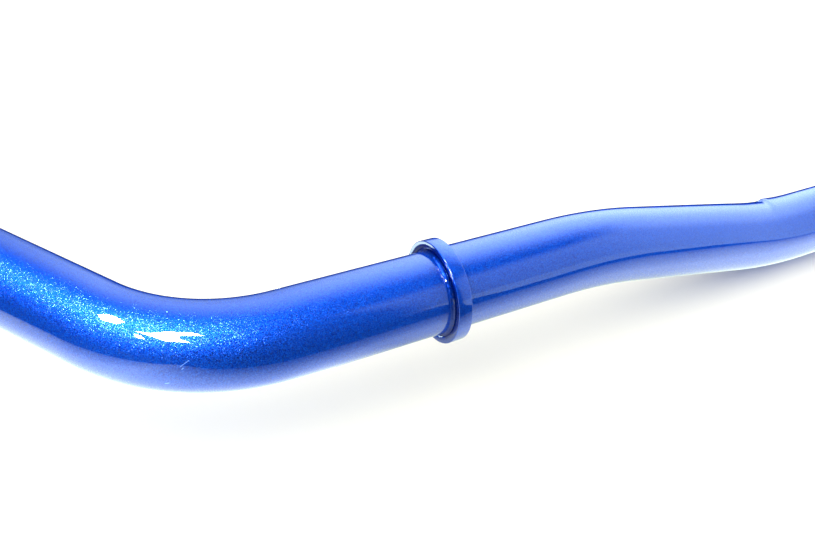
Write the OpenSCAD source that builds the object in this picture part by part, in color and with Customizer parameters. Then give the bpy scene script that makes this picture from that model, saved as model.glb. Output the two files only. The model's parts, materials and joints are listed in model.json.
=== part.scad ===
// Tubular front sway bar with welded lateral-lock rings and slotted end plates.
// X runs across the car, +Y is the side the arms reach to, +Z is up. The bar stands on z = 0.
// The left half is built and mirrored. Lengths are in millimetres, angles in degrees.
// The bend and roll angles carry four decimals, so that the straight and bent lengths meet
// without a step.

/* [Tube] */
// outside diameter of the bar
tube_od = 28; // [20:0.5:40]
// wall thickness of the bar
tube_wall = 4; // [2:0.5:8]
// half of the straight centre section
centre_half = 162; // [60:0.5:300]
// straight length of the sloping jog
jog_straight = 59.3; // [20:0.1:150]
// angle of both jog bends
jog_angle = 10.9193; // [2:0.0001:30]
// centreline radius of the jog bends
jog_radius = 200; // [60:1:300]
// straight shoulder that carries the bushing and the lock ring
shoulder_straight = 101; // [70:0.1:200]

/* [Arms] */
// centreline radius of both arm bends
arm_radius = 60; // [45:1:120]
// angle of the main arm bend
arm_angle = 55.2226; // [30:0.0001:85]
// tilt of the main arm bend above level
arm_rise = 10.0319; // [0:0.0001:25]
// straight length between the two arm bends
arm_straight = 130; // [60:1:250]
// angle of the second arm bend
tip_angle = 43.6397; // [20:0.0001:70]
// roll of the second arm bend about the arm
tip_roll = 43.262; // [0:0.0001:90]
// downward slope of the arm tip
tip_slope = 18.1956; // [0:0.0001:40]
// straight tube length after the second arm bend
tip_straight = 54; // [40:1:120]

/* [Lock rings] */
// outside diameter of a lock ring
ring_od = 35; // [30:0.5:50]
// width of a lock ring
ring_width = 5; // [3:0.5:10]
// distance from the arm bend to the ring's outboard face
ring_from_bend = 52; // [35:1:90]
// chamfer on the ring's outer edges
ring_chamfer = 0.5; // [0:0.1:1.5]
// leg of the fillet weld at the ring's root
ring_bead = 1; // [0.8:0.1:3]

/* [End plates] */
// plate thickness
plate_thickness = 6; // [4:0.5:12]
// plate width, which also sets its round tip
plate_width = 34; // [29:1:50]
// length of the slot cut into the tube end
slot_length = 30; // [15:1:45]
// diameter of the link holes
hole_diameter = 10.5; // [8:0.1:16]
// spacing of the link holes
hole_spacing = 20; // [15:0.5:35]
// number of link holes
hole_count = 3; // [1:1:3]
// chamfer at the mouths of the link holes
hole_chamfer = 0.6; // [0:0.1:1]
// leg of the seam welds along the plate
seam_leg = 4; // [2:0.5:6]
// length of bare tube and plate left at each end of a seam weld
seam_inset = 1; // [0:0.5:4]
// thickness of the half-round caps that close the tube end
cap_thickness = 3; // [2:0.5:6]
// recess of the caps below the tube end
cap_recess = 1; // [0:0.5:3]

/* [Hidden] */
$fn = 96;

paint = [0.05, 0.25, 0.85];
bare = [0.62, 0.63, 0.66];
tube_r = tube_od / 2;
bore_r = tube_r - tube_wall;
plate_half = plate_thickness / 2;
tip_r = plate_width / 2;
seam_root = tube_r - 2;
seam_crown = tip_r - 0.5;
reach = 400;

// the shoulder lies above the centre section by the jog's drop
jog_run = 2 * jog_radius * sin(jog_angle) + jog_straight * cos(jog_angle);
jog_drop = 2 * jog_radius * (1 - cos(jog_angle)) + jog_straight * sin(jog_angle);
shoulder_z = tube_r + jog_drop;
bend_x = centre_half + jog_run + shoulder_straight;
ring_x = bend_x - ring_from_bend - ring_width / 2;

// the second arm bend starts here, measured from the shoulder's axis
arm_out = arm_radius * sin(arm_angle) + arm_straight * cos(arm_angle);
arm_back = arm_radius * (1 - cos(arm_angle)) + arm_straight * sin(arm_angle);
tip_tangent = arm_radius * tan(tip_angle / 2);
tip_x = bend_x + arm_out + tip_tangent * cos(arm_angle);
tip_y = arm_back * cos(arm_rise) + tip_tangent * (sin(arm_angle) * cos(arm_rise) + cos(tip_slope));
tip_z = shoulder_z + arm_back * sin(arm_rise)
    + tip_tangent * (sin(arm_angle) * sin(arm_rise) - sin(tip_slope));

// the tube ends here, and the last link hole sits so that the plate's tip touches the floor
end_y = tip_y + tip_straight * cos(tip_slope);
end_z = tip_z - tip_straight * sin(tip_slope);
last_hole = (end_z - tip_r) / sin(tip_slope);
last_hole_y = end_y + last_hole * cos(tip_slope);

// the bar is shifted so that its box is centred on the origin from front to back
shift_y = -(last_hole_y + tip_r - tube_r) / 2;

// a straight length along +Z, with the children at its far end
module straight(r, length) {
    cylinder(h = length, r = r);
    translate([0, 0, length])
        children();
}

// turns the children about the centre of a bend
module turned(clr, angle) {
    translate([clr, 0, 0])
        rotate([0, angle, 0])
            translate([-clr, 0, 0])
                children();
}

// a bend from +Z towards +X, with the children at its far end
module bend(r, clr, angle) {
    intersection() {
        translate([clr, 0, 0])
            rotate([90, 0, 0])
                rotate_extrude()
                    translate([clr, 0])
                        circle(r = r);
        translate([-reach, -reach, 0])
            cube(2 * reach);
        turned(clr, angle)
            translate([-reach, -reach, -2 * reach])
                cube(2 * reach);
    }
    turned(clr, angle)
        children();
}

// one half of the bar at a given radius, from the middle out to the left arm's end
module half_bar(r) {
    translate([0, shift_y, tube_r])
        rotate([0, -90, 0])
            straight(r, centre_half)
            bend(r, jog_radius, jog_angle)
            straight(r, jog_straight)
            rotate([0, 0, 180])
            bend(r, jog_radius, jog_angle)
            rotate([0, 0, 180])
            straight(r, shoulder_straight)
            rotate([0, 0, 90 - arm_rise])
            bend(r, arm_radius, arm_angle)
            straight(r, arm_straight)
            rotate([0, 0, tip_roll])
            bend(r, arm_radius, tip_angle)
            straight(r, tip_straight);
}

module whole_bar(r) {
    half_bar(r);
    mirror([1, 0, 0])
        half_bar(r);
}

// the frame of the left tube end: +Y leaves the tube, X goes through the plate
module left_end() {
    translate([-tip_x, end_y + shift_y, end_z])
        rotate([-tip_slope, 0, 0])
            children();
}

// the frame of the left lock ring: +Z points outboard along the shoulder
module left_ring() {
    translate([-ring_x, shift_y, shoulder_z])
        rotate([0, -90, 0])
            children();
}

module right_side() {
    mirror([1, 0, 0])
        children();
}

module slot() {
    left_end()
        translate([-plate_half, -slot_length, -tube_od])
            cube([plate_thickness, 2 * slot_length, 2 * tube_od]);
}

module bar_tube() {
    color(paint)
        difference() {
            whole_bar(tube_r);
            whole_bar(bore_r);
            slot();
            right_side()
                slot();
        }
}

module lock_ring() {
    half = ring_width / 2;
    outer = ring_od / 2;
    left_ring()
        rotate_extrude()
            polygon([
                [tube_r, -half],
                [outer - ring_chamfer, -half],
                [outer, -half + ring_chamfer],
                [outer, half - ring_chamfer],
                [outer - ring_chamfer, half],
                [tube_r, half]
            ]);
}

module left_lock_ring() {
    color(paint)
        lock_ring();
}

module right_lock_ring() {
    color(paint)
        right_side()
            lock_ring();
}

// a hollow fillet weld against one face of a ring, side is 1 outboard and -1 inboard
module ring_bead_at(side) {
    arc = [for (i = [0 : 6]) [
        tube_r + ring_bead * (1 - sin(90 * i / 6)),
        ring_bead * (1 - cos(90 * i / 6))
    ]];
    left_ring()
        mirror([0, 0, side > 0 ? 0 : 1])
            translate([0, 0, ring_width / 2])
                rotate_extrude()
                    polygon(concat([[tube_r, 0]], arc));
}

module left_ring_bead_outer() {
    color(paint)
        ring_bead_at(1);
}

module left_ring_bead_inner() {
    color(paint)
        ring_bead_at(-1);
}

module right_ring_bead_outer() {
    color(paint)
        right_side()
            ring_bead_at(1);
}

module right_ring_bead_inner() {
    color(paint)
        right_side()
            ring_bead_at(-1);
}

// one link hole through a plate, along X, with chamfered mouths
module link_hole(along) {
    r = hole_diameter / 2;
    translate([0, along, 0])
        rotate([0, 90, 0]) {
            translate([0, 0, -plate_thickness])
                cylinder(h = 2 * plate_thickness, r = r);
            for (side = [0, 1])
                mirror([0, 0, side])
                    translate([0, 0, plate_half - hole_chamfer])
                        cylinder(h = 2 * hole_chamfer, r1 = r, r2 = r + 2 * hole_chamfer);
        }
}

module end_plate() {
    left_end()
        difference() {
            union() {
                translate([-plate_half, -slot_length, -tip_r])
                    cube([plate_thickness, slot_length + last_hole, plate_width]);
                translate([-plate_half, last_hole, 0])
                    rotate([0, 90, 0])
                        cylinder(h = plate_thickness, r = tip_r);
            }
            for (i = [0 : hole_count - 1])
                link_hole(last_hole - i * hole_spacing);
        }
}

module left_end_plate() {
    color(paint)
        end_plate();
}

module right_end_plate() {
    color(paint)
        right_side()
            end_plate();
}

// a rounded seam weld in the corner between the tube's outside and a plate face
// side is 1 outboard and -1 inboard, level is 1 on top and -1 below
module seam(side, level) {
    crown = [for (i = [0 : 6]) [
        plate_half + seam_leg * sin(90 * i / 6),
        seam_root + (seam_crown - seam_root) * cos(90 * i / 6)
    ]];
    left_end()
        mirror([side > 0 ? 1 : 0, 0, 0])
            mirror([0, 0, level > 0 ? 0 : 1])
                translate([0, -seam_inset, 0])
                    rotate([90, 0, 0])
                        linear_extrude(slot_length - 2 * seam_inset)
                            difference() {
                                polygon(concat([[plate_half, seam_root]], crown));
                                circle(r = tube_r);
                            }
}

module left_seam_top_outer() {
    color(paint)
        seam(1, 1);
}

module left_seam_top_inner() {
    color(paint)
        seam(-1, 1);
}

module left_seam_bottom_outer() {
    color(paint)
        seam(1, -1);
}

module left_seam_bottom_inner() {
    color(paint)
        seam(-1, -1);
}

module right_seam_top_outer() {
    color(paint)
        right_side()
            seam(1, 1);
}

module right_seam_top_inner() {
    color(paint)
        right_side()
            seam(-1, 1);
}

module right_seam_bottom_outer() {
    color(paint)
        right_side()
            seam(1, -1);
}

module right_seam_bottom_inner() {
    color(paint)
        right_side()
            seam(-1, -1);
}

// a half-round cap that closes the tube end beside the plate
module end_cap(side) {
    left_end()
        mirror([side > 0 ? 1 : 0, 0, 0])
            translate([0, -cap_recess, 0])
                rotate([90, 0, 0])
                    linear_extrude(cap_thickness)
                        difference() {
                            circle(r = bore_r);
                            translate([-2 * bore_r + plate_half, -bore_r])
                                square(2 * bore_r);
                        }
}

module left_end_cap_outer() {
    color(bare)
        end_cap(1);
}

module left_end_cap_inner() {
    color(bare)
        end_cap(-1);
}

module right_end_cap_outer() {
    color(bare)
        right_side()
            end_cap(1);
}

module right_end_cap_inner() {
    color(bare)
        right_side()
            end_cap(-1);
}

bar_tube();
left_lock_ring();
right_lock_ring();
left_ring_bead_outer();
left_ring_bead_inner();
right_ring_bead_outer();
right_ring_bead_inner();
left_end_plate();
right_end_plate();
left_seam_top_outer();
left_seam_top_inner();
left_seam_bottom_outer();
left_seam_bottom_inner();
right_seam_top_outer();
right_seam_top_inner();
right_seam_bottom_outer();
right_seam_bottom_inner();
left_end_cap_outer();
left_end_cap_inner();
right_end_cap_outer();
right_end_cap_inner();
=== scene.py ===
import json
import math

import bmesh
import bpy
from mathutils import Matrix, Vector, noise


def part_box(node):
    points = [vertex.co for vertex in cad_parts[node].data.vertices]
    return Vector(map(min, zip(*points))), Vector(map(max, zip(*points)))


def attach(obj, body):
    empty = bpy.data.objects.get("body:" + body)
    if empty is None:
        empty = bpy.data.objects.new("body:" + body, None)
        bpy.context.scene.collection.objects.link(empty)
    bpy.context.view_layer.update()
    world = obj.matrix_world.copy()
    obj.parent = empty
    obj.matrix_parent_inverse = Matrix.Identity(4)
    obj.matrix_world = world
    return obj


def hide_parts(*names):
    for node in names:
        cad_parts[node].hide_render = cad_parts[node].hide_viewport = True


# A tubular sway bar in a small studio. Detailed meshes in candy-blue flake paint stand for every
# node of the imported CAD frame. Left is -X, and the right half is a mirror image of the left.
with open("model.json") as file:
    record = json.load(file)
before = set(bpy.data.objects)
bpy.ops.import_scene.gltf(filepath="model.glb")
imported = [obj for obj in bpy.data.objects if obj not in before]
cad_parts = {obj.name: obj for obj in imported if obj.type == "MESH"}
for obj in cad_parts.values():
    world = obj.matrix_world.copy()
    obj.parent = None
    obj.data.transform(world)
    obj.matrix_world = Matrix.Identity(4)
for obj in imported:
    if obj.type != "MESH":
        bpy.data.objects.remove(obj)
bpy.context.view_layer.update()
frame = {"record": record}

MM = 0.001

# The bar's dimensions, as the CAD part has them. Lengths in metres, angles in radians.
TUBE_R = 14 * MM
BORE_R = 10 * MM
CENTRE_HALF = 162 * MM
JOG_STRAIGHT = 59.3 * MM
JOG_ANGLE = math.radians(10.9193)
JOG_RADIUS = 200 * MM
SHOULDER = 101 * MM
ARM_RADIUS = 60 * MM
ARM_ANGLE = math.radians(55.2226)
ARM_RISE = math.radians(10.0319)
ARM_STRAIGHT = 130 * MM
TIP_ANGLE = math.radians(43.6397)
TIP_ROLL = math.radians(43.262)
TIP_STRAIGHT = 54 * MM
RING_R = 17.5 * MM
RING_WIDTH = 5 * MM
RING_BEAD = 1.0 * MM
PLATE_THICK = 6 * MM
PLATE_WIDTH = 34 * MM
SLOT_LENGTH = 30 * MM
HOLE_R = 5.25 * MM
CAP_THICK = 3 * MM
CAP_RECESS = 1 * MM


def box_centre(name):
    low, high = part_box(name)
    return (Vector(low) + Vector(high)) / 2


RING_AT = box_centre("left_lock_ring")
BAR_Y = RING_AT.y


# ---------- camera ----------

# The camera stands close to the left lock ring, above it and to its left.
LENS_MM = 33.34
SENSOR_MM = 36.0
CLIP_NEAR, CLIP_FAR = 0.01, 60
CAMERA_AZIMUTH = math.radians(-27.958)
CAMERA_ELEVATION = math.radians(30.305)
CAMERA_REACH = 248.95 * MM
CAMERA_OFFSET = (8.04 * MM, 6.93 * MM)


def make_camera():
    """Aims the camera from the lock ring's outboard face."""
    azimuth, elevation = CAMERA_AZIMUTH, CAMERA_ELEVATION
    back = Vector((math.sin(azimuth) * math.cos(elevation),
                   -math.cos(azimuth) * math.cos(elevation),
                   math.sin(elevation)))
    right = Vector((math.cos(azimuth), math.sin(azimuth), 0))
    up = back.cross(right)
    face = RING_AT - Vector((RING_WIDTH / 2, 0, 0))
    place = face + back * CAMERA_REACH - right * CAMERA_OFFSET[0] + up * CAMERA_OFFSET[1]
    data = bpy.data.cameras.new("camera")
    data.lens = LENS_MM
    data.sensor_width = SENSOR_MM
    data.clip_start = CLIP_NEAR
    data.clip_end = CLIP_FAR
    camera = bpy.data.objects.new("camera", data)
    turn_to = Matrix((right, up, back)).transposed().to_4x4()
    camera.matrix_world = Matrix.Translation(place) @ turn_to
    bpy.context.collection.objects.link(camera)
    bpy.context.scene.camera = camera


make_camera()


# ---------- mesh helpers ----------

def add_object(name, mesh):
    obj = bpy.data.objects.new(name, mesh)
    bpy.context.collection.objects.link(obj)
    return obj


def add_mesh(name, vertices, faces, smooth=True):
    mesh = bpy.data.meshes.new(name)
    mesh.from_pydata([tuple(v) for v in vertices], [], faces)
    for polygon in mesh.polygons:
        polygon.use_smooth = smooth
    mesh.update()
    return add_object(name, mesh)


def grid_faces(rows, columns, wrap_rows=False):
    """Quads over rows of closed loops, with the last row joined to the first where asked."""
    faces = []
    for i in range(rows if wrap_rows else rows - 1):
        below, above = i * columns, ((i + 1) % rows) * columns
        for k in range(columns):
            n = (k + 1) % columns
            faces.append((below + k, below + n, above + n, above + k))
    return faces


def outward(obj):
    """Turns every face of a closed mesh outwards."""
    mesh = bmesh.new()
    mesh.from_mesh(obj.data)
    bmesh.ops.recalc_face_normals(mesh, faces=mesh.faces)
    mesh.to_mesh(obj.data)
    mesh.free()
    return obj


def loft(name, loops):
    """A closed mesh through a row of loops, with a face across each end."""
    columns = len(loops[0])
    vertices = [v for loop in loops for v in loop]
    faces = grid_faces(len(loops), columns)
    faces.append(tuple(range(columns)))
    faces.append(tuple(range(len(vertices) - columns, len(vertices))))
    return outward(add_mesh(name, vertices, faces))


def mirrored(obj, name):
    """A copy of a left-hand piece for the right-hand side."""
    mesh = obj.data.copy()
    mesh.transform(Matrix.Diagonal((-1, 1, 1, 1)))
    mesh.flip_normals()
    return add_object(name, mesh)


def fit_out(obj, node, material):
    """Puts a piece on the rigid body in place of its CAD node and paints it."""
    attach(obj, "root")
    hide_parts(node)
    obj.data.materials.clear()
    obj.data.materials.append(material)


def fit_pair(left, node, material):
    """Fits out a left-hand piece and its mirror image. The node's name comes without its side."""
    fit_out(left, "left_" + node, material)
    right = mirrored(left, left.name.replace("left", "right"))
    fit_out(right, "right_" + node, material)


# ---------- paint ----------

FLAKE_SIZE = 0.18 * MM
FLAKE_TILT, SPARKLE_TILT = 0.24, 0.44
FLAKE_ROUGHNESS, SPARKLE_ROUGHNESS = 0.52, 0.33
FLAKE_METAL, SPARKLE_METAL = 0.6, 1.0

# The share of flakes that sparkle, and the part of those that do so at full strength. A flake's
# chance to sparkle is the fraction left when its red is multiplied by the shuffle.
SPARKLE_SHARE = 0.28
SPARKLE_FULL = 0.6
SPARKLE_SHUFFLE = 37.0

CANDY_DEEP = (0.0, 0.015, 0.27, 1)
CANDY_PALE = (0.006, 0.082, 0.52, 1)
SPARKLE = (0.022, 0.063, 0.39, 1)
EDGE_TINT = (0.25, 0.42, 1.0, 1)
# The dark navy of painted shade, mixed into the paint in the corners beside the lock rings.
PAINTED_SHADE_COLOUR = (0.0, 0.006, 0.085, 1)

PEEL_SIZE = 2.6 * MM
PEEL_DEPTH = 0.004 * MM
PEEL_DETAIL = 1.0
COAT_ROUGHNESS = 0.02
COAT_IOR = 1.5

# Fine marks in the bar's clear coat at the left bend: start, end and width. A mark is at full
# strength within its width divided by the fade.
SCRATCHES = [
    (Vector((-0.42845, -0.14706, 0.03650)), Vector((-0.42614, -0.14756, 0.03807)), 0.18 * MM),
    (Vector((-0.42830, -0.14730, 0.03560)), Vector((-0.42790, -0.14745, 0.03600)), 0.16 * MM),
    (Vector((-0.43310, -0.14470, 0.03060)), Vector((-0.43210, -0.14530, 0.03080)), 0.18 * MM),
]
SCRATCH = (0.13, 0.29, 0.90, 1)
SCRATCH_FADE = 3


def node_tools(tree):
    """Short functions for a node tree: one adds a node, and one fills a socket."""

    def put(value, socket):
        """Links another node's output to a socket, or sets the socket to a plain value."""
        if isinstance(value, bpy.types.NodeSocket):
            tree.links.new(value, socket)
        else:
            socket.default_value = value

    def add(kind, sockets=None, **properties):
        node = tree.nodes.new(kind)
        for key, value in properties.items():
            setattr(node, key, value)
        for key, value in (sockets or {}).items():
            put(value, node.inputs[key])
        return node

    return add, put


def mixed(add, low, high, factor):
    """A colour between two others."""
    return add("ShaderNodeMix", {"A": low, "B": high, "Factor": factor}, data_type="RGBA").outputs["Result"]


def scratch_mask(add, place, start, end, width):
    """1 on a short straight stroke and 0 off it, from the distance to the stroke's line."""
    run = end - start
    away = add("ShaderNodeVectorMath", {0: place, 1: start}, operation="SUBTRACT").outputs[0]
    along = add("ShaderNodeVectorMath", {0: away, 1: run / run.length_squared}, operation="DOT_PRODUCT")
    held = add("ShaderNodeClamp", {"Value": along.outputs["Value"]})
    nearest = add("ShaderNodeVectorMath", {0: run, "Scale": held.outputs[0]}, operation="SCALE")
    apart = add("ShaderNodeVectorMath", {0: away, 1: nearest.outputs[0]}, operation="DISTANCE")
    limits = {"From Min": width, "From Max": width / SCRATCH_FADE, "Value": apart.outputs["Value"]}
    return add("ShaderNodeMapRange", limits).outputs[0]


def flake_values(add, place):
    """Each flake's random colour, its green alone, and how much it sparkles, from 0 to 1."""
    flakes = add("ShaderNodeTexVoronoi", {"Scale": 1 / FLAKE_SIZE, "Vector": place}, feature="F1")
    colour = flakes.outputs["Color"]
    parts = add("ShaderNodeSeparateColor", {0: colour})
    shuffled = add("ShaderNodeMath", {0: parts.outputs[0], 1: SPARKLE_SHUFFLE}, operation="MULTIPLY")
    chance = add("ShaderNodeMath", {0: shuffled.outputs[0]}, operation="FRACT")
    limits = {"From Min": 1 - SPARKLE_SHARE, "From Max": 1 - SPARKLE_SHARE * SPARKLE_FULL}
    sparkle = add("ShaderNodeMapRange", {**limits, "Value": chance.outputs[0]})
    return colour, parts.outputs[1], sparkle.outputs[0]


def flake_normal(add, colour, amount):
    """The surface's normal, tilted a little by each flake's random colour."""
    centred = add("ShaderNodeVectorMath", {0: colour, 1: (0.5, 0.5, 0.5)}, operation="SUBTRACT")
    tilt = add("ShaderNodeVectorMath", {0: centred.outputs[0], "Scale": amount}, operation="SCALE")
    surface = add("ShaderNodeNewGeometry").outputs["Normal"]
    tilted = add("ShaderNodeVectorMath", {0: surface, 1: tilt.outputs[0]}, operation="ADD")
    return add("ShaderNodeVectorMath", {0: tilted.outputs[0]}, operation="NORMALIZE").outputs[0]


def candy_colour(add, place, shade, sparkle, scratches):
    """The candy layer's colour. It varies from flake to flake, and the scratches show in it.

    It is mixed towards a dark navy where a mesh's point attribute asks for it: painted shade in the corners
    beside the lock rings.
    """
    colour = mixed(add, mixed(add, CANDY_DEEP, CANDY_PALE, shade), SPARKLE, sparkle)
    painted_shade = add("ShaderNodeAttribute", attribute_name="painted_shade").outputs["Fac"]
    colour = mixed(add, colour, PAINTED_SHADE_COLOUR, painted_shade)
    for start, end, width in scratches:
        colour = mixed(add, colour, SCRATCH, scratch_mask(add, place, start, end, width))
    return colour


def orange_peel(add, place, strength):
    """The normal of the clear coat, with its faint waves."""
    skin = add("ShaderNodeTexNoise", {"Scale": 1 / PEEL_SIZE, "Detail": PEEL_DETAIL, "Vector": place})
    sockets = {"Strength": strength, "Distance": PEEL_DEPTH, "Height": skin.outputs["Fac"]}
    return add("ShaderNodeBump", sockets).outputs["Normal"]


def flake_paint(name, tilt=1.0, peel=1.0, metal=FLAKE_METAL, coat=1.0, scratches=()):
    """Candy-blue paint: fine metal flakes, some of them sparkling, under a clear coat."""
    material = bpy.data.materials.new(name)
    material.use_nodes = True
    add, put = node_tools(material.node_tree)
    place = add("ShaderNodeTexCoord").outputs["Object"]
    colour, shade, sparkle = flake_values(add, place)

    def by_sparkle(low, high):
        return add("ShaderNodeMapRange", {"To Min": low, "To Max": high, "Value": sparkle}).outputs[0]

    looks = {
        "Base Color": candy_colour(add, place, shade, sparkle, scratches),
        "Metallic": by_sparkle(metal, SPARKLE_METAL),
        "Roughness": by_sparkle(FLAKE_ROUGHNESS, SPARKLE_ROUGHNESS),
        "Normal": flake_normal(add, colour, by_sparkle(FLAKE_TILT * tilt, SPARKLE_TILT * tilt)),
        "Specular IOR Level": 0,
        "Specular Tint": EDGE_TINT,
        "Coat Weight": coat,
        "Coat Roughness": COAT_ROUGHNESS,
        "Coat IOR": COAT_IOR,
        "Coat Normal": orange_peel(add, place, peel),
    }
    shader = material.node_tree.nodes["Principled BSDF"]
    for socket, value in looks.items():
        put(value, shader.inputs[socket])
    return material


BAR_PAINT = flake_paint("bar_paint", scratches=SCRATCHES)
RING_PAINT = flake_paint("ring_paint", tilt=0.35, peel=0.6, metal=0.8)
WELD_PAINT = flake_paint("weld_paint", tilt=0.35, peel=2.0, metal=0.8, coat=0.45)
PLATE_PAINT = flake_paint("plate_paint")
CAP_PAINT = flake_paint("cap_paint")


# ---------- the bent tube ----------

# The left half from the middle outwards. A straight has a length, and a bend has a radius, an
# angle and a roll, which is 0 for a bend upwards.
ROUTE = [
    (CENTRE_HALF, None, 0),
    (JOG_RADIUS, JOG_ANGLE, 0),
    (JOG_STRAIGHT, None, 0),
    (JOG_RADIUS, JOG_ANGLE, math.pi),
    (SHOULDER, None, 0),
    (ARM_RADIUS, ARM_ANGLE, math.pi / 2 - ARM_RISE),
    (ARM_STRAIGHT, None, 0),
    (ARM_RADIUS, TIP_ANGLE, math.pi / 2 - ARM_RISE + TIP_ROLL),
    (TIP_STRAIGHT, None, 0),
]
STRAIGHT_STEP = 1.5 * MM
BEND_STEP = 1.0 * MM
TUBE_SIDES = 96

# The tube's end face has a rounded outer edge, and the bore is modelled a little past the plate.
END_LIP = 0.5 * MM
LIP_STEPS = (0.3, 0.7, 1.0)
BORE_PAST_SLOT = 1.2

# A bending die has left a small step on the inside of the jog's lower bend.
MARK_AT = CENTRE_HALF + 18 * MM
MARK_HEIGHT = 0.6 * MM
MARK_FADE = 12 * MM
MARK_EDGE = 0.35 * MM
MARK_CENTRE = math.radians(28)
MARK_BACK = math.radians(15)
MARK_FRONT = math.radians(66)
MARK_SLANT = 0.62 * TUBE_R


def rolled(axes, angle):
    """The axes turned about the tube's own line."""
    side, third, forward = axes
    spin = Matrix.Rotation(angle, 3, forward)
    return (spin @ side, spin @ third, forward)


def turned(position, axes, radius, angle):
    """Follows an arc towards the first axis and returns the new position and axes."""
    side, third, forward = axes
    centre = position + side * radius
    spin = Matrix.Rotation(angle, 3, third)
    return centre - spin @ side * radius, (spin @ side, third, spin @ forward)


def straight_stops(start, axes, length):
    count = math.ceil(length / STRAIGHT_STEP)
    return [(start + axes[2] * length * i / count, axes) for i in range(1, count + 1)]


def bend_stops(start, axes, radius, angle, roll):
    bent = rolled(axes, roll)
    count = math.ceil(radius * angle / BEND_STEP)
    arcs = [turned(start, bent, radius, angle * i / count) for i in range(1, count + 1)]
    return [(at, rolled(way, -roll)) for at, way in arcs]


def left_route():
    """Stops along the left half from the middle outwards: (point, (side, third, forward))."""
    position = Vector((0, BAR_Y, TUBE_R))
    axes = (Vector((0, 0, 1)), Vector((0, 1, 0)), Vector((-1, 0, 0)))
    stops = [(position, axes)]
    for size, angle, roll in ROUTE:
        if angle is None:
            stops += straight_stops(position, axes, size)
            position = position + axes[2] * size
        else:
            stops += bend_stops(position, axes, size, angle, roll)
            position, axes = stops[-1]
    return stops


LEFT_ROUTE = left_route()
END_AT, END_AXES = LEFT_ROUTE[-1]


def die_mark(along, angle):
    """The tube's extra radius near the die mark. Angle 0 is the top of the tube."""
    angle = (angle - MARK_CENTRE + math.pi) % (2 * math.pi) - math.pi
    off = along - MARK_AT + MARK_SLANT * angle
    spread = MARK_BACK if angle > 0 else MARK_FRONT
    window = max(0.0, math.cos(min(abs(angle) / spread, 1) * math.pi / 2)) ** 2
    side = -math.tanh(off / MARK_EDGE)
    return MARK_HEIGHT * window * side * math.exp(-abs(off) / MARK_FADE)


def tube_loop(point, axes, radius, along=None):
    """A loop of points round the tube's line, with the die mark in it if its distance along is given."""
    side, third, _ = axes
    loop = []
    for k in range(TUBE_SIDES):
        a = 2 * math.pi * k / TUBE_SIDES
        r = radius if along is None else radius + die_mark(along, a)
        loop.append(point + (side * math.cos(a) + third * math.sin(a)) * r)
    return loop


def end_loop(back, radius):
    """A loop near the tube's end, which lies back from it by the given vector."""
    return tube_loop(END_AT - back, END_AXES, radius)


def outside_loops():
    """The left half's outside, from the middle to the last stop before the rounded edge."""
    loops = []
    along = 0
    before = LEFT_ROUTE[0][0]
    for point, axes in LEFT_ROUTE[:-1]:
        along += (point - before).length
        before = point
        loops.append(tube_loop(point, axes, TUBE_R, along))
    return loops


def end_loops():
    """The rounded edge, the end face and a short way into the bore."""
    tip = END_AXES[2]
    loops = [end_loop(tip * END_LIP, TUBE_R)]
    for step in LIP_STEPS:
        a = step * math.pi / 2
        back = END_LIP * (1 - math.sin(a))
        loops.append(end_loop(tip * back, TUBE_R - END_LIP * (1 - math.cos(a))))
    loops.append(end_loop(tip * 0, BORE_R + END_LIP / 2))
    loops.append(end_loop(tip * END_LIP / 2, BORE_R))
    loops.append(end_loop(tip * SLOT_LENGTH * BORE_PAST_SLOT, BORE_R))
    return loops


def make_tube():
    """The whole bar as one closed mesh."""
    left = outside_loops() + end_loops()
    right = [[Vector((-v.x, v.y, v.z)) for v in loop] for loop in left]
    return loft("bar", right[::-1] + left[1:])


fit_out(make_tube(), "bar_tube", BAR_PAINT)


# ---------- lock rings and their fillets ----------

LATHE_SIDES = 480
RING_EDGE = 0.28 * MM
RING_EDGE_STEPS = 5

# The bead is hollow between its edges, and it reaches a little into the tube and the ring.
BEAD_POINTS = 10
BEAD_HOLLOW = 0.07 * MM
BEAD_SINK = 0.2 * MM
BEAD_LAP = 0.1 * MM
BEAD_THIN_AT, BEAD_THIN = math.radians(55), 0.55

# Ripples in the bead, and drops of paint at an angle from the top and a share of the way down it.
SWELL_SCALE, SWELL = 15, 0.10 * MM
RIPPLE_COUNT, RIPPLE = 46, 0.01 * MM
DROPS = [(math.radians(-33), 0.0), (math.radians(-46), 0.85), (math.radians(-44), 0.1)]
DROP_SIZE = 0.42 * MM
DROP_HEIGHT = 0.16 * MM

# How much painted shade darkens each point of a profile in the corners by the tube, and how much less of it
# there is at the bottom.
RING_PAINTED_SHADE = [0.85, 0.75, 0.4, 0.1, 0, 0, 0, 0, 0, 0, 0.1, 0.4, 0.75, 0.85]
RING_SHADE_LESS_BELOW = 0.8
BEAD_PAINTED_SHADE = [0.95] + [0.95 - 0.035 * i for i in range(BEAD_POINTS + 1)] + [0.6]


def lathe(name, profile, painted_shade, wobble=None, shade_less_below=0.0):
    """Turns a closed (radius, outboard) profile about the shoulder's axis at the left ring.

    The mesh keeps a share of painted shade at each point, and a wobble moves each point of the profile.
    """
    vertices = []
    shade_shares = []
    for k in range(LATHE_SIDES):
        a = 2 * math.pi * k / LATHE_SIDES
        # Painted shade at each point, with less of it towards the bottom of the ring.
        shade_shares += [share * (1 - shade_less_below * max(0.0, -math.cos(a))) for share in painted_shade]
        for j, (radius, out) in enumerate(profile):
            if wobble:
                radius, out = wobble(a, j, radius, out)
            vertices.append(RING_AT + Vector((-out, math.sin(a) * radius, math.cos(a) * radius)))
    faces = grid_faces(LATHE_SIDES, len(profile), wrap_rows=True)
    piece = outward(add_mesh(name, vertices, faces))
    piece.data.attributes.new("painted_shade", "FLOAT", "POINT").data.foreach_set("value", shade_shares)
    return piece


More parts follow.
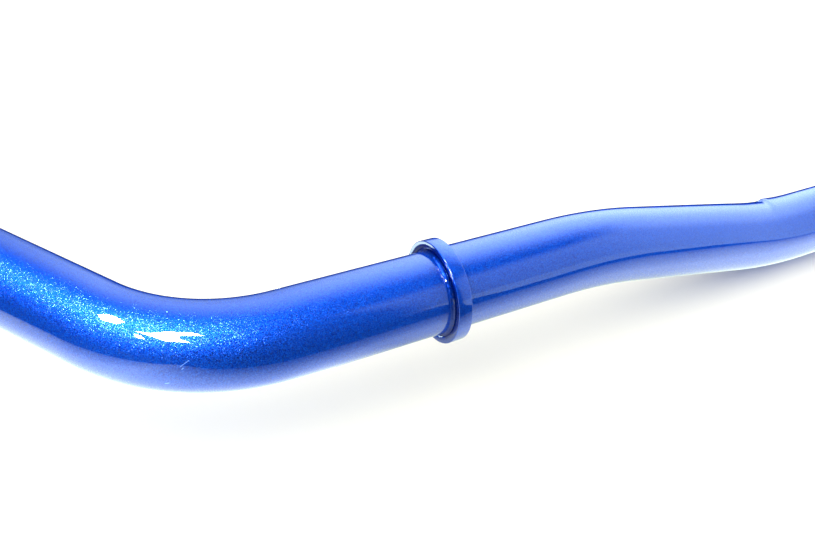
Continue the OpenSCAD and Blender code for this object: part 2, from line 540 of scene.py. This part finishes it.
def ring_profile():
    """A plain band with its two outer edges rounded."""
    half = RING_WIDTH / 2
    points = [(TUBE_R, -half)]
    for corner in (0, 1):
        for i in range(RING_EDGE_STEPS + 1):
            a = math.pi / 2 * (i / RING_EDGE_STEPS + corner) - math.pi / 2
            side = -half + RING_EDGE if corner == 0 else half - RING_EDGE
            points.append((RING_R - RING_EDGE + RING_EDGE * math.cos(a), side + RING_EDGE * math.sin(a)))
    points.append((TUBE_R, half))
    return points


def bead_profile():
    """A hollow fillet from the ring's outboard face down to the tube."""
    half = RING_WIDTH / 2
    points = [(TUBE_R - BEAD_SINK, half - BEAD_LAP)]
    for i in range(BEAD_POINTS + 1):
        share = i / BEAD_POINTS
        dip = BEAD_HOLLOW * math.sin(math.pi * share)
        points.append((TUBE_R + RING_BEAD * (1 - share) - dip, half + RING_BEAD * share - dip))
    points.append((TUBE_R - BEAD_SINK, half + RING_BEAD))
    return points


def ripple(angle, index, radius, out):
    """Low weld ripples, levelled by the paint, a few drops of paint, and a thinner bead behind the top."""
    share = min(max(index - 1, 0), BEAD_POINTS) / BEAD_POINTS
    swell = noise.noise(Vector((math.cos(angle), math.sin(angle), 0)) * SWELL_SCALE) * SWELL
    swell += math.sin(angle * RIPPLE_COUNT) * RIPPLE
    swell *= math.sin(math.pi * share)
    for at, down in DROPS:
        away = (angle + math.pi - at) % (2 * math.pi) - math.pi
        apart = math.hypot(away * TUBE_R, (share - down) * RING_BEAD * math.sqrt(2))
        swell += DROP_HEIGHT * math.exp(-(apart / DROP_SIZE) ** 2)
    size = 1 - BEAD_THIN * max(0.0, math.cos(angle - BEAD_THIN_AT)) ** 2
    way = math.copysign(1, out)
    face = way * RING_WIDTH / 2
    return TUBE_R + (radius + swell - TUBE_R) * size, face + (out + way * swell - face) * size


ring = lathe("lock-ring-left", ring_profile(), RING_PAINTED_SHADE, shade_less_below=RING_SHADE_LESS_BELOW)
fit_pair(ring, "lock_ring", RING_PAINT)
for way, place in ((1, "outer"), (-1, "inner")):
    profile = [(radius, way * out) for radius, out in bead_profile()]
    bead = lathe("ring-bead-left-" + place, profile, BEAD_PAINTED_SHADE, ripple)
    fit_pair(bead, "ring_bead_" + place, WELD_PAINT)


# ---------- end plates, seam welds and caps ----------

# A frame at the tube's end, and the link holes' distances from it along the plate.
ACROSS, ALONG = Vector((1, 0, 0)), END_AXES[2]
UP = ACROSS.cross(ALONG)
HOLE_AT = [Vector(mount["pos_m"]) for mount in frame["record"]["mounts"]
           if mount["name"].startswith("left_link_hole")]
HOLES_ALONG = [(place - END_AT).dot(ALONG) for place in HOLE_AT]

# A flat piece's rounded edge has its own rings. Points within the edge's radius divided by the
# merge part become one, and a face whose normal is upright enough is shaded flat.
ARC_STEPS = 48
PLATE_EDGE = 0.5 * MM
CAP_EDGE = 0.3 * MM
EDGE_RINGS = 3
MERGE_PART = 50
FLAT_FROM = 0.99

# A seam weld is a quarter round in the corner between the tube and the plate. It tapers at its
# ends to a part of its size, and its size ripples at a pitch and drifts slowly along it.
SEAM_SIDES = 14
SEAM_STEP = 0.2 * MM
SEAM_INSET = 1 * MM
SEAM_LEG = 4 * MM
SEAM_ROOT = TUBE_R - 2 * MM
SEAM_CROWN = PLATE_WIDTH / 2 - 0.5 * MM
SEAM_FOOT = 0.6
SEAM_SINK = 1 * MM
SEAM_LAP = 0.5 * MM
SEAM_TAPER = 1.6 * MM
SEAM_END = 0.25
SEAM_PITCH = 1.7 * MM
SEAM_RIPPLE = 0.07
SEAM_SWING = 0.9 * MM
SEAM_DRIFT = 0.05
DRIFT_SCALE = 90
DRIFT_SEEDS = (3, 5)


def arc(radius, start, end, centre=(0, 0)):
    angles = [math.radians(start + (end - start) * i / ARC_STEPS) for i in range(ARC_STEPS + 1)]
    return [(centre[0] + radius * math.cos(a), centre[1] + radius * math.sin(a)) for a in angles]


def placed(mesh, axes):
    """Moves a mesh made about the tube's end to its place, with its X, Y and Z along the given axes."""
    mesh.transform(Matrix.Translation(END_AT) @ Matrix(axes).transposed().to_4x4())
    mesh.update()


def outline_curve(name, outlines, thickness, edge):
    """A flat filled curve in the XY plane, with rounded edges inside its outlines."""
    curve = bpy.data.curves.new(name, "CURVE")
    curve.dimensions = "2D"
    curve.fill_mode = "BOTH"
    curve.extrude = thickness / 2 - edge
    curve.bevel_depth = edge
    curve.bevel_resolution = EDGE_RINGS
    curve.offset = -edge
    for outline in outlines:
        spline = curve.splines.new("POLY")
        spline.points.add(len(outline) - 1)
        for point, (x, y) in zip(spline.points, outline):
            point.co = (x, y, 0, 1)
        spline.use_cyclic_u = True
    return curve


def flat_piece(name, outlines, thickness, edge):
    """A flat piece in the XY plane, cut to its first outline and through the others."""
    cutter = add_object(name, outline_curve(name, outlines, thickness, edge))
    bpy.context.view_layer.update()
    graph = bpy.context.evaluated_depsgraph_get()
    mesh = bpy.data.meshes.new_from_object(cutter.evaluated_get(graph))
    bpy.data.objects.remove(cutter)
    joined = bmesh.new()
    joined.from_mesh(mesh)
    bmesh.ops.remove_doubles(joined, verts=joined.verts, dist=edge / MERGE_PART)
    bmesh.ops.recalc_face_normals(joined, faces=joined.faces)
    for face in joined.faces:
        face.smooth = abs(face.normal.z) < FLAT_FROM
    joined.to_mesh(mesh)
    joined.free()
    mesh.name = name
    return add_object(name, mesh)


def end_plate():
    half = PLATE_WIDTH / 2
    tip = arc(half, -90, 90, (HOLES_ALONG[0], 0))
    outline = [(-SLOT_LENGTH, half), (-SLOT_LENGTH, -half)] + tip
    holes = [arc(HOLE_R, 360, 0, (along, 0))[:-1] for along in HOLES_ALONG]
    plate = flat_piece("end-plate-left", [outline] + holes, PLATE_THICK, PLATE_EDGE)
    placed(plate.data, (ALONG, UP, ACROSS))
    return plate


def end_cap(name, side):
    """A half-round cap in the bore, between the plate and the tube. Side 1 is outboard."""
    reach = math.degrees(math.acos(PLATE_THICK / 2 / BORE_R))
    outline = [(side * -x, z) for x, z in arc(BORE_R, -reach, reach)]
    cap = flat_piece(name, [outline], CAP_THICK, CAP_EDGE)
    cap.data.transform(Matrix.Translation((0, 0, CAP_RECESS + CAP_THICK / 2)))
    placed(cap.data, (ACROSS, UP, -ALONG))
    return outward(cap)


def seam_size(along, angle, side, level):
    """A seam weld's size at a point: tapered at its ends, with crescent ripples and a slow drift."""
    ends = min(along - SEAM_INSET, SLOT_LENGTH - SEAM_INSET - along) / SEAM_TAPER
    body = math.sqrt(1 - (1 - min(max(ends, 0.0), 1.0)) ** 2) * (1 - SEAM_END) + SEAM_END
    wave = (along + SEAM_SWING * math.sin(2 * angle)) / SEAM_PITCH
    crest = 1 - SEAM_RIPPLE * (wave - math.floor(wave)) ** 2
    spot = Vector((along * DRIFT_SCALE, side * DRIFT_SEEDS[0], level * DRIFT_SEEDS[1]))
    drift = 1 - SEAM_DRIFT * (noise.noise(spot) + 1) / 2
    return body * crest * drift


def seam_loop(along, side, level):
    """One cross-section of a seam weld, which reaches a little into the tube and the plate."""
    half = PLATE_THICK / 2
    points = []
    for i in range(SEAM_SIDES + 1):
        a = math.pi / 2 * i / SEAM_SIDES
        size = seam_size(along, a, side, level)
        height = SEAM_ROOT + (SEAM_CROWN - SEAM_ROOT) * math.cos(a) * size
        points.append((half + SEAM_LEG * math.sin(a) * size, height))
    points.append((half + SEAM_LEG * SEAM_FOOT, SEAM_ROOT - SEAM_SINK))
    points.append((half - SEAM_LAP, SEAM_ROOT - SEAM_SINK))
    return [END_AT - ALONG * along - ACROSS * side * x + UP * level * z for x, z in points]


def make_seam(name, side, level):
    count = round((SLOT_LENGTH - 2 * SEAM_INSET) / SEAM_STEP)
    return loft(name, [seam_loop(SEAM_INSET + SEAM_STEP * i, side, level) for i in range(count + 1)])


fit_pair(end_plate(), "end_plate", PLATE_PAINT)
for side, place in ((1, "outer"), (-1, "inner")):
    cap = end_cap("end-cap-left-" + place, side)
    fit_pair(cap, "end_cap_" + place, CAP_PAINT)
    for level, height in ((1, "top"), (-1, "bottom")):
        seam = make_seam("seam-left-%s-%s" % (height, place), side, level)
        fit_pair(seam, "seam_%s_%s" % (height, place), WELD_PAINT)


# ---------- studio ----------

WHITE = (1, 1, 1, 1)
SKY_LEVEL = 1.72
FLOOR_HALF = 12
FLOOR_COLOUR = (0.93, 0.92, 0.80, 1)
FLOOR_ROUGHNESS = 0.8

# Lamps seen as highlights in the clear coat: their outlines from above, in metres.
LAMP_HEIGHT = 1.0
SMALL_LAMP_LEVEL = 480
LARGE_LAMP_LEVEL = 120
SMALL_LAMP = [(-0.84, 0.05), (-0.83, -0.02), (-0.88, -0.12), (-1.02, -0.18), (-1.08, -0.10), (-0.99, 0.01)]
LARGE_LAMP = [(-1.05, -0.38), (-0.97, -0.45), (-0.79, -0.38), (-0.67, -0.45), (-0.67, -0.63),
              (-0.81, -0.56), (-0.91, -0.71), (-0.95, -0.96), (-1.14, -0.84), (-1.08, -0.60)]
SIDE_LAMP = [(-1.20, -0.50), (-1.15, -0.54), (-1.29, -0.72), (-1.35, -0.67)]

# A glowing sheet on the left of the middle, seen only in the gloss: a painted reflection of lit paper. Its
# points give x, y and a level of glow, in rows from behind the bar to the front of it. The level is painted
# shade where it is dark behind the bar and low at the bar's foot, where the bar's shadow would fall. The
# right is a mirror image.
PAPER_HEIGHT = 0.0001
PAPER_TINT = (1.0, 1.13, 0.85, 1)
PAPER_ROWS = [
    [(-0.50, 0.12, 0), (-0.47, 0.04, 0), (-0.435, -0.03, 0), (-0.415, -0.06, 0), (-0.39, -0.075, 0),
     (-0.33, -0.085, 0), (-0.22, -0.088, 0), (-0.13, -0.11, 0), (0.0, -0.11, 0)],
    [(-0.54, 0.11, 3), (-0.515, 0.04, 3), (-0.475, -0.045, 1.8), (-0.445, -0.09, 2.2), (-0.41, -0.118, 1.6),
     (-0.365, -0.123, 1.1), (-0.24, -0.125, 1.2), (-0.13, -0.13, 1.2), (0.0, -0.13, 1.2)],
    [(-0.56, 0.10, 4), (-0.535, 0.03, 4), (-0.49, -0.05, 2.8), (-0.455, -0.105, 4.4), (-0.42, -0.13, 4.0),
     (-0.35, -0.14, 0.9), (-0.23, -0.14, 1.2), (-0.12, -0.14, 1.3), (0.0, -0.14, 1.3)],
    [(-0.60, 0.05, 3.4), (-0.58, 0.00, 3.4), (-0.54, -0.09, 2.7), (-0.49, -0.16, 4.4), (-0.43, -0.17, 2.6),
     (-0.36, -0.167, 2.0), (-0.26, -0.165, 2.6), (-0.15, -0.165, 3.6), (0.0, -0.165, 3.8)],
    [(-0.65, 0.00, 1.6), (-0.67, -0.05, 1.6), (-0.64, -0.14, 1.5), (-0.54, -0.24, 2.6), (-0.44, -0.20, 1.0),
     (-0.37, -0.185, 0.9), (-0.28, -0.195, 1.3), (-0.17, -0.20, 1.9), (0.0, -0.21, 2.2)],
    [(-0.68, -0.04, 0.4), (-0.72, -0.11, 0.4), (-0.72, -0.20, 0.6), (-0.60, -0.36, 1.4),
     (-0.455, -0.233, 0.4), (-0.37, -0.202, 0.4), (-0.29, -0.215, 0.5), (-0.19, -0.225, 0.6),
     (0.0, -0.26, 0.6)],
]

# A second sheet in front of it, evenly lit: its outline from above.
FAR_PAPER = [(-0.255, -0.265), (-0.23, -0.262), (-0.12, -0.275), (0.0, -0.32), (1.5, -0.70), (1.5, -3.0),
             (0.9, -3.0), (-0.24, -0.36)]

# A small upright card behind the bar, from one end to the other.
CARD = [(-0.3810, -0.0853), (-0.3740, -0.0580)]
CARD_HEIGHT = 0.025
CARD_LEVEL = 6.5

# The dome's lit parts. In each pair of angles in degrees, the light is out at the first and full
# at the second. A turn is from the front towards the right, bases and tops are elevations, and
# the diffuser's spread is measured from its middle.
DOME_RADIUS = 9
DOME_SEGMENTS, DOME_RINGS = 64, 32
ROOM_TINT = (0.80, 1.06, 1.04, 1)
ROOM_LEVEL = 0.02
DIFFUSER_AT = (130, 35)
DIFFUSER_LEVEL = 4.4
DIFFUSER_SPREAD, DIFFUSER_BASE = (55, 8), (-3, 4)
WALL_LEVEL = 2.0
WALL_EDGE, WALL_EDGE_SHARE = (19, 24), 0.55
WALL_SLOPE, WALL_SLOPE_SHARE = (22, 58), 0.45
WALL_END, WALL_BASE, WALL_TOP = (112, 78), (-7, -4), (51, 36)
GROUND_LEVEL = 1.3
GROUND_TURN, GROUND_TOP = (95, 120), (-33, -45)
SKYLINE_LEVEL = 0.45
SKYLINE_TURN, SKYLINE_BASE, SKYLINE_TOP = (140, 165), (-8, -2), (22, 10)


def reflection_only(obj):
    """Shows a studio piece in the paint's gloss and nowhere else."""
    obj.visible_camera = False
    obj.visible_diffuse = False
    obj.visible_shadow = False


def glow(name, colour, strength=1.0):
    """An emission material, the tools for its tree and the socket of its strength."""
    material = bpy.data.materials.new(name)
    material.use_nodes = True
    material.node_tree.nodes.clear()
    add, put = node_tools(material.node_tree)
    emission = add("ShaderNodeEmission", {"Color": colour, "Strength": strength})
    add("ShaderNodeOutputMaterial", {0: emission.outputs[0]})
    return material, add, put, emission.inputs["Strength"]


def make_glow(name, points, strength, colour=WHITE):
    """A flat emitter with one face, which only the gloss sees."""
    piece = add_mesh(name, points, [tuple(range(len(points)))], smooth=False)
    piece.data.materials.append(glow(name, colour, strength)[0])
    reflection_only(piece)


def make_floor():
    half = FLOOR_HALF
    corners = [(-half, -half, 0), (half, -half, 0), (half, half, 0), (-half, half, 0)]
    floor = add_mesh("floor", corners, [(0, 1, 2, 3)], smooth=False)
    material = bpy.data.materials.new("floor")
    material.use_nodes = True
    shader = material.node_tree.nodes["Principled BSDF"]
    shader.inputs["Base Color"].default_value = FLOOR_COLOUR
    shader.inputs["Roughness"].default_value = FLOOR_ROUGHNESS
    shader.inputs["Specular IOR Level"].default_value = 0
    floor.data.materials.append(material)
    floor.visible_glossy = False


def make_lamp(name, outline, strength):
    make_glow(name, [(x, y, LAMP_HEIGHT) for x, y in outline], strength)


def make_paper():
    """A glowing sheet round the bar that paints lit paper into the gloss, with a level of glow at each
    point. The level is low where it paints the bar's shadow.
    """
    rows = [left + [(-x, y, level) for x, y, level in reversed(left)] for left in PAPER_ROWS]
    columns = len(rows[0])
    points = [(x, y, PAPER_HEIGHT) for row in rows for x, y, _ in row]
    faces = [(r * columns + c, r * columns + c + 1, (r + 1) * columns + c + 1, (r + 1) * columns + c)
             for r in range(len(rows) - 1) for c in range(columns - 1)]
    paper = add_mesh("paper", points, faces, smooth=False)
    levels = paper.data.attributes.new("level", "FLOAT", "POINT")
    levels.data.foreach_set("value", [level for row in rows for _, _, level in row])
    material, add, put, strength = glow("paper", PAPER_TINT)
    put(add("ShaderNodeAttribute", attribute_name="level").outputs["Fac"], strength)
    paper.data.materials.append(material)
    reflection_only(paper)


def make_far_paper():
    make_glow("far-paper", [(x, y, PAPER_HEIGHT) for x, y in FAR_PAPER], WALL_LEVEL, ROOM_TINT)


def make_card():
    """The upright card, which whitens the lock ring's face near its top."""
    (x0, y0), (x1, y1) = CARD
    points = [(x0, y0, 0), (x1, y1, 0), (x1, y1, CARD_HEIGHT), (x0, y0, CARD_HEIGHT)]
    make_glow("card", points, CARD_LEVEL, ROOM_TINT)


def heading(azimuth, elevation):
    """The direction at an azimuth from -Y towards +X and an elevation, in degrees."""
    a, e = math.radians(azimuth), math.radians(elevation)
    return Vector((math.sin(a) * math.cos(e), -math.cos(a) * math.cos(e), math.sin(e)))


def light_tools(add):
    """Short functions for the dome's light: a sum or product, and smooth windows from dark to lit."""

    def calc(operation, first, *others):
        for other in others or (0.0,):
            first = add("ShaderNodeMath", {0: first, 1: other}, operation=operation).outputs[0]
        return first

    def window(value, dark, lit):
        sockets = {"Value": value, "From Min": dark, "From Max": lit}
        return add("ShaderNodeMapRange", sockets, interpolation_type="SMOOTHSTEP").outputs[0]

    def by_angle(angle, pair):
        return window(angle, *(math.radians(edge) for edge in pair))

    def by_sine(sine, pair):
        return window(sine, *(math.sin(math.radians(edge)) for edge in pair))

    return calc, by_angle, by_sine


def dome_light(add):
    """The room's light in each direction from the dome's centre."""
    calc, by_angle, by_sine = light_tools(add)
    place = add("ShaderNodeTexCoord").outputs["Object"]
    unit = add("ShaderNodeVectorMath", {0: place}, operation="NORMALIZE").outputs[0]
    x, y, z = add("ShaderNodeSeparateXYZ", {0: unit}).outputs
    turn = calc("ARCTAN2", x, calc("MULTIPLY", y, -1.0))
    back = calc("ABSOLUTE", turn)
    facing = add("ShaderNodeVectorMath", {0: unit, 1: heading(*DIFFUSER_AT)}, operation="DOT_PRODUCT")
    apart = calc("ARCCOSINE", facing.outputs["Value"])

    diffuser = calc("MULTIPLY", by_angle(apart, DIFFUSER_SPREAD), by_sine(z, DIFFUSER_BASE), DIFFUSER_LEVEL)
    rise = calc("ADD", calc("MULTIPLY", by_angle(turn, WALL_EDGE), WALL_EDGE_SHARE),
                calc("MULTIPLY", by_angle(turn, WALL_SLOPE), WALL_SLOPE_SHARE))
    wall = calc("MULTIPLY", rise, by_angle(turn, WALL_END), by_sine(z, WALL_BASE), by_sine(z, WALL_TOP),
                WALL_LEVEL)
    ground = calc("MULTIPLY", by_angle(back, GROUND_TURN), by_sine(z, GROUND_TOP), GROUND_LEVEL)
    skyline = calc("MULTIPLY", by_angle(back, SKYLINE_TURN), by_sine(z, SKYLINE_BASE),
                   by_sine(z, SKYLINE_TOP), SKYLINE_LEVEL)
    return calc("ADD", diffuser, wall, ground, skyline, ROOM_LEVEL)


def make_dome():
    """The room that the gloss sees.

    It has a big round diffuser behind on the right, a pale wall on the right, and dimmer ground
    and a faint skyline behind.
    """
    mesh = bmesh.new()
    bmesh.ops.create_uvsphere(mesh, u_segments=DOME_SEGMENTS, v_segments=DOME_RINGS, radius=DOME_RADIUS)
    data = bpy.data.meshes.new("dome")
    mesh.to_mesh(data)
    mesh.free()
    dome = add_object("dome", data)
    material, add, put, strength = glow("dome", ROOM_TINT)
    put(dome_light(add), strength)
    data.materials.append(material)
    reflection_only(dome)


def make_world():
    """Soft white light from all round for the floor and the paint's colour. The gloss sees the dome."""
    world = bpy.data.worlds.new("studio")
    bpy.context.scene.world = world
    world.use_nodes = True
    white = world.node_tree.nodes["Background"]
    white.inputs["Color"].default_value = WHITE
    white.inputs["Strength"].default_value = SKY_LEVEL
    world.cycles_visibility.glossy = False


make_floor()
make_lamp("small-lamp", SMALL_LAMP, SMALL_LAMP_LEVEL)
make_lamp("large-lamp", LARGE_LAMP, LARGE_LAMP_LEVEL)
make_lamp("side-lamp", SIDE_LAMP, LARGE_LAMP_LEVEL)
make_paper()
make_far_paper()
make_card()
make_dome()
make_world()
bpy.context.scene.view_settings.view_transform = "Standard"
